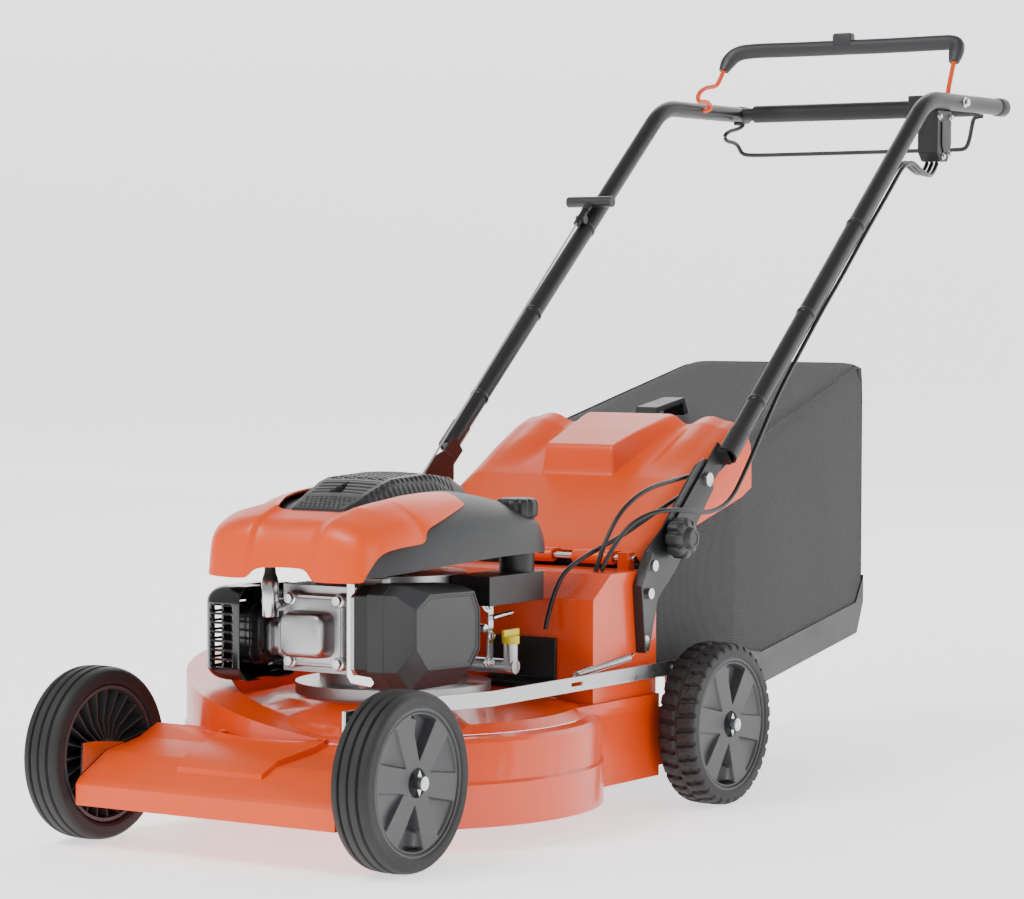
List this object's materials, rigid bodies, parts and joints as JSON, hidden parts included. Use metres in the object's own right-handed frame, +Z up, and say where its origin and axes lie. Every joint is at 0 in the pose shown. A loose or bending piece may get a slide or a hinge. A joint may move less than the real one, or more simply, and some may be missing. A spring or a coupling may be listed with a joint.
{
  "type": "walk-behind lawn mower",
  "caption": "Petrol lawn mower with a round cutting deck, four wheels, rear grass bag and a tubular handle with control bails.",
  "frame": {"origin": "on the ground, below the middle of the whole mower", "axes": "+Z up, -Y towards the front of the mower, +X towards the operator's left"},
  "size_m": [0.572, 1.694, 1.0501],
  "materials": {
    "orange_paint": "gloss",
    "orange_plastic": "gloss",
    "black_tube": "satin",
    "black_steel": "satin",
    "dark_plastic": "matte",
    "rim_plastic": "satin",
    "tyre_rubber": "matte",
    "zinc_steel": "satin",
    "cast_aluminium": "satin",
    "cast_iron": "matte",
    "tool_steel": "satin",
    "black_rubber": "matte",
    "yellow_plastic": "gloss",
    "bag_cloth": "matte",
    "filter_foam": "matte",
    "rope_cord": "satin",
    "orange_wire": "gloss"
  },
  "bodies": {
    "mower_deck": {"deck_shell": "orange_paint", "front_bumper": "orange_plastic", "rear_housing": "orange_paint", "belt_cover": "dark_plastic", "handle_brackets": "black_steel", "frame_bolts": "zinc_steel", "crankcase": "cast_aluminium", "cylinder_head": "cast_aluminium", "valve_cover": "cast_aluminium", "spark_plug": "zinc_steel", "piston": "cast_aluminium", "muffler": "black_steel", "muffler_guard": "black_steel", "carburettor": "cast_aluminium", "air_filter_cover": "dark_plastic", "air_filter_element": "filter_foam", "fuel_tank": "dark_plastic", "engine_cover": "dark_plastic", "starter_grille": "dark_plastic", "engine_shroud": "orange_plastic", "drive_belt": "black_rubber"},
    "rotor": {"crankshaft": "cast_iron", "flywheel": "cast_iron", "blade_adapter": "cast_iron", "blade": "tool_steel", "blade_bolt": "zinc_steel"},
    "front_suspension": {"front_axle": "zinc_steel"},
    "rear_suspension": {"rear_axle": "zinc_steel"},
    "height_link": {"link_bar": "zinc_steel", "height_spring": "zinc_steel"},
    "front_left_wheel": {"front_left_tyre": "tyre_rubber", "front_left_rim": "rim_plastic"},
    "front_right_wheel": {"front_right_tyre": "tyre_rubber", "front_right_rim": "rim_plastic"},
    "rear_left_wheel": {"rear_left_tyre": "tyre_rubber", "rear_left_rim": "rim_plastic"},
    "rear_right_wheel": {"rear_right_tyre": "tyre_rubber", "rear_right_rim": "rim_plastic"},
    "gearbox_unit": {"gearbox": "cast_aluminium"},
    "belt_wheel": {"gearbox_pulley": "cast_iron"},
    "cap": {"fuel_cap": "dark_plastic"},
    "oil_stick": {"dipstick": "yellow_plastic"},
    "handle": {"handle_tube_left": "black_tube", "handle_tube_right": "black_tube", "cross_bar": "black_rubber", "control_box": "dark_plastic", "starter_rope": "rope_cord", "drive_cable": "black_rubber", "brake_cable": "black_rubber", "throttle_cable": "black_rubber"},
    "knob_left": {"left_knob": "dark_plastic"},
    "knob_right": {"right_knob": "dark_plastic"},
    "brake_bail": {"bail_wires": "orange_wire", "bail_grip": "dark_plastic"},
    "drive_bail_arm": {"drive_bail": "black_tube"},
    "speed_lever": {"drive_lever": "dark_plastic"},
    "pull_grip": {"starter_grip": "dark_plastic"},
    "flap": {"rear_flap": "orange_plastic"},
    "grass_bag": {"bag_fabric": "bag_cloth", "bag_frame": "dark_plastic"}
  },
  "joints": [
    {"name": "blade_spin", "type": "hinge", "parent": "mower_deck", "child": "rotor", "pos_m": [0, -0.433, 0.165], "axis": [0, 0, 1], "continuous": true},
    {"name": "cut_height", "type": "hinge", "parent": "mower_deck", "child": "rear_suspension", "pos_m": [0, -0.121, 0.08], "axis": [-1, 0, 0], "range_deg": [0, 32], "deforming": ["drive_belt"]},
    {"name": "front_height", "type": "hinge", "parent": "mower_deck", "child": "front_suspension", "pos_m": [0, -0.793, 0.08], "axis": [-1, 0, 0], "range_deg": [0, 32]},
    {"name": "link_tilt", "type": "hinge", "parent": "front_suspension", "child": "height_link", "pos_m": [0, -0.793, 0.18], "axis": [-1, 0, 0], "range_deg": [-32, 0]},
    {"name": "front_left_spin", "type": "hinge", "parent": "front_suspension", "child": "front_left_wheel", "pos_m": [0, -0.738, 0.105], "axis": [1, 0, 0], "continuous": true},
    {"name": "front_right_spin", "type": "hinge", "parent": "front_suspension", "child": "front_right_wheel", "pos_m": [0, -0.738, 0.105], "axis": [1, 0, 0], "continuous": true},
    {"name": "rear_left_spin", "type": "hinge", "parent": "rear_suspension", "child": "rear_left_wheel", "pos_m": [0, -0.066, 0.105], "axis": [1, 0, 0], "continuous": true},
    {"name": "rear_right_spin", "type": "hinge", "parent": "rear_suspension", "child": "rear_right_wheel", "pos_m": [0, -0.066, 0.105], "axis": [1, 0, 0], "continuous": true},
    {"name": "gearbox_tilt", "type": "hinge", "parent": "rear_suspension", "child": "gearbox_unit", "pos_m": [0, -0.066, 0.105], "axis": [-1, 0, 0], "range_deg": [-32, 0]},
    {"name": "belt_wheel_spin", "type": "hinge", "parent": "gearbox_unit", "child": "belt_wheel", "pos_m": [0.095, -0.066, 0.141], "axis": [0, 0, 1], "continuous": true},
    {"name": "fuel_cap_turn", "type": "hinge", "parent": "mower_deck", "child": "cap", "pos_m": [0.128, -0.348, 0.395], "axis": [0, 0, 1], "continuous": true},
    {"name": "dipstick_turn", "type": "hinge", "parent": "mower_deck", "child": "oil_stick", "pos_m": [0.148, -0.392, 0.235], "axis": [0, 0, 1], "continuous": true},
    {"name": "handle_fold", "type": "hinge", "parent": "mower_deck", "child": "handle", "pos_m": [0, -0.023, 0.418], "axis": [1, 0, 0], "range_deg": [0, 130], "deforming": ["starter_rope", "drive_cable", "brake_cable", "throttle_cable"]},
    {"name": "left_knob_turn", "type": "hinge", "parent": "mower_deck", "child": "knob_left", "pos_m": [0.225, -0.10652, 0.34641], "axis": [1, 0, 0], "continuous": true},
    {"name": "right_knob_turn", "type": "hinge", "parent": "mower_deck", "child": "knob_right", "pos_m": [-0.225, -0.10652, 0.34641], "axis": [-1, 0, 0], "continuous": true},
    {"name": "brake_bail_pull", "type": "hinge", "parent": "handle", "child": "brake_bail", "pos_m": [0, 0.694, 0.94513], "axis": [-1, 0, 0], "range_deg": [0, 52], "stiffness_Nm_per_rad": 1.5, "springref_deg": -22.92},
    {"name": "drive_bail_pull", "type": "hinge", "parent": "handle", "child": "drive_bail_arm", "pos_m": [0, 0.798, 0.93213], "axis": [1, 0, 0], "range_deg": [0, 55], "stiffness_Nm_per_rad": 0.6, "springref_deg": -14.32},
    {"name": "speed_lever_turn", "type": "hinge", "parent": "handle", "child": "speed_lever", "pos_m": [0.177, 0.652, 0.92663], "axis": [1, 0, 0], "range_deg": [-35, 35]},
    {"name": "starter_pull", "type": "slide", "parent": "handle", "child": "pull_grip", "axis": [0, 0.7593, 0.6508], "range_m": [0, 0.5], "stiffness_N_per_m": 8, "springref_m": -0.3},
    {"name": "flap_lift", "type": "hinge", "parent": "mower_deck", "child": "flap", "pos_m": [0, -0.169, 0.322], "axis": [1, 0, 0], "range_deg": [0, 60], "stiffness_Nm_per_rad": 1, "springref_deg": -17.19, "deforming": ["starter_rope", "drive_cable", "brake_cable", "throttle_cable"]},
    {"name": "bag_pull_off", "type": "slide", "parent": "mower_deck", "child": "grass_bag", "axis": [0, 1, 0], "range_m": [0, 0.75]}
  ],
  "couplings": [
    {"joint": "front_height", "follows": "cut_height", "ratio": 1},
    {"joint": "link_tilt", "follows": "cut_height", "ratio": -1},
    {"joint": "gearbox_tilt", "follows": "cut_height", "ratio": -1},
    {"joint": "belt_wheel_spin", "follows": "blade_spin", "ratio": 0.54546}
  ]
}
